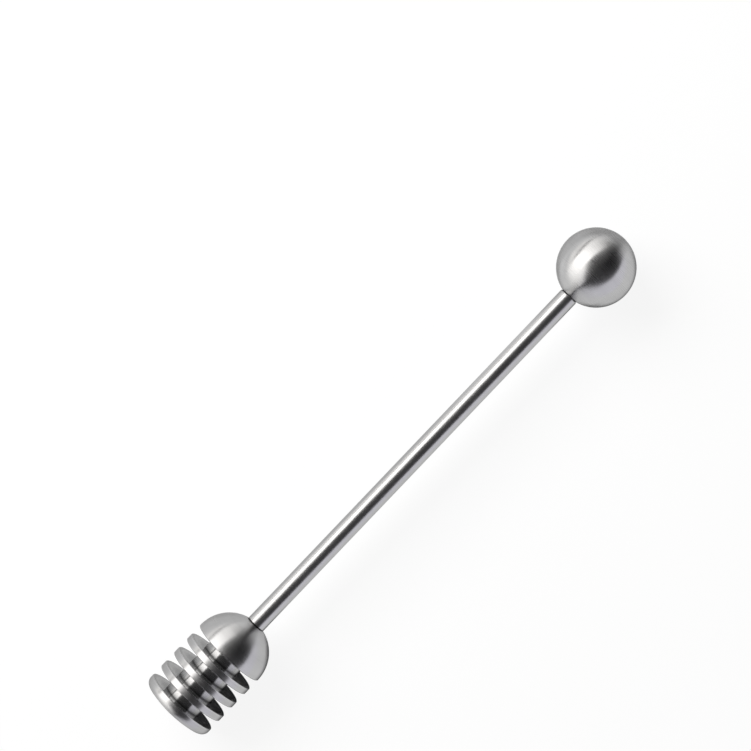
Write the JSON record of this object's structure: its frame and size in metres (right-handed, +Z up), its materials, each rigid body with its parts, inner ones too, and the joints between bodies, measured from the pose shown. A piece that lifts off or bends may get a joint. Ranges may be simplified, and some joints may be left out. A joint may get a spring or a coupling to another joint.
{
  "type": "honey dipper",
  "caption": "Steel honey dipper: a grooved, dome-topped turned head on a slim straight rod, with a ball knob at the hand end.",
  "frame": {"origin": "middle of the dipper's length, on the surface that it lies on, under its axis", "axes": "the dipper lies on its side along X, head towards -X and ball towards +X; Z is up; the axis of the handle runs along X at half the ball's height"},
  "size_m": [0.164, 0.02, 0.02],
  "materials": {
    "satin_steel_ball": "satin, fine turning marks around the axis of the handle",
    "polished_steel_rod": "polished bar",
    "turned_steel_head": "fine turned, satin, with broken edges"
  },
  "bodies": {
    "root": {"ball_knob": "satin_steel_ball", "handle_rod": "polished_steel_rod", "dipper_head": "turned_steel_head"}
  },
  "joints": []
}
